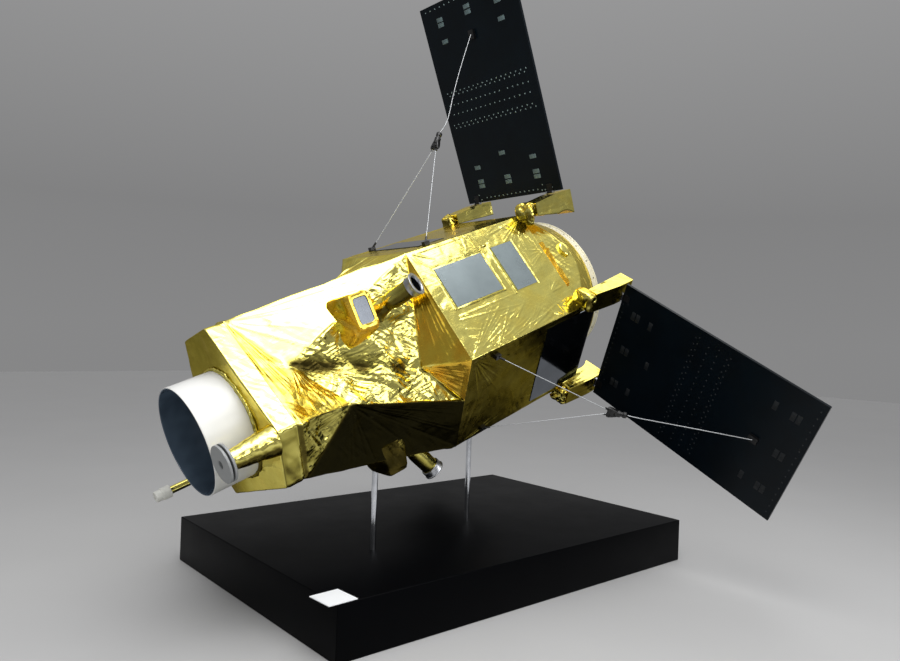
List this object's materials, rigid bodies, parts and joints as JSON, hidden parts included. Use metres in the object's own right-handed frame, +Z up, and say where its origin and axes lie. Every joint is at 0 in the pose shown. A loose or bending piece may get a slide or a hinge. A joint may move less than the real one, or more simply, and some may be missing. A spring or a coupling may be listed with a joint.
{
  "type": "display model of an Earth-observation satellite on a plinth",
  "caption": "Exhibition model of a hexagonal Earth-observation satellite in gold foil, with folding solar panels and a telescope baffle, held on rods over a box plinth.",
  "frame": {"origin": "on the floor under the middle of the plinth", "axes": "+X along the plinth's long side towards the satellite's tail, +Y to the far side, +Z up"},
  "size_m": [2.3952, 2.7986, 2.6478],
  "materials": {
    "gold_foil": "crinkled gold film, high gloss",
    "white_paint": "gloss",
    "ivory_paint": "satin",
    "grey_plastic": "satin",
    "black_plastic": "satin",
    "radiator_grey": "satin",
    "satin_metal": "satin",
    "window_glass": "gloss",
    "panel_navy": "gloss",
    "bright_wire": "bright",
    "charcoal_paint": "satin paint on board",
    "white_card": "matte",
    "chrome_rod": "polished"
  },
  "bodies": {
    "display_stand_and_satellite": {"bus_body": "gold_foil", "foil_tent": "gold_foil", "nose_block": "gold_foil", "tail_skirt": "gold_foil", "baffle_tube": "white_paint", "baffle_collar": "gold_foil", "horn_cone": "gold_foil", "horn_spool": "grey_plastic", "boom_tube": "gold_foil", "boom_cap": "white_paint", "launch_ring": "ivory_paint", "sensor_boxes": "gold_foil", "sensor_windows": "window_glass", "tracker_tubes": "gold_foil", "tracker_collars": "satin_metal", "radiators_wide": "radiator_grey", "radiators_narrow": "radiator_grey", "arms": "gold_foil", "arm_knobs": "gold_foil", "hinge_brackets": "satin_metal", "stay_anchors": "black_plastic", "plinth": "charcoal_paint", "plinth_card": "white_card", "support_rods": "chrome_rod", "stay_wires_top": "bright_wire", "stay_clamp_top": "black_plastic", "stay_wires_near": "bright_wire", "stay_clamp_near": "black_plastic", "stay_wires_far": "bright_wire", "stay_clamp_far": "black_plastic"},
    "panel_top": {"solar_panel_top": "panel_navy", "hinge_leaves_top": "satin_metal", "stay_fitting_top": "black_plastic"},
    "panel_near": {"solar_panel_near": "panel_navy", "hinge_leaves_near": "satin_metal", "stay_fitting_near": "black_plastic"},
    "panel_far": {"solar_panel_far": "panel_navy", "hinge_leaves_far": "satin_metal", "stay_fitting_far": "black_plastic"}
  },
  "joints": [
    {"name": "panel_top_fold", "type": "hinge", "parent": "display_stand_and_satellite", "child": "panel_top", "pos_m": [0.22962, -0.18, 1.75612], "axis": [0, -1, 0], "range_deg": [0, 85], "deforming": ["stay_wires_top", "stay_clamp_top"]},
    {"name": "panel_near_fold", "type": "hinge", "parent": "display_stand_and_satellite", "child": "panel_near", "pos_m": [0.47485, -0.59396, 1.08237], "axis": [0.2962, 0.5, -0.8138], "range_deg": [0, 85], "deforming": ["stay_wires_near", "stay_clamp_near"]},
    {"name": "panel_far_fold", "type": "hinge", "parent": "display_stand_and_satellite", "child": "panel_far", "pos_m": [0.47485, 0.23396, 1.08237], "axis": [-0.2962, 0.5, 0.8138], "range_deg": [0, 85], "deforming": ["stay_wires_far", "stay_clamp_far"]}
  ]
}
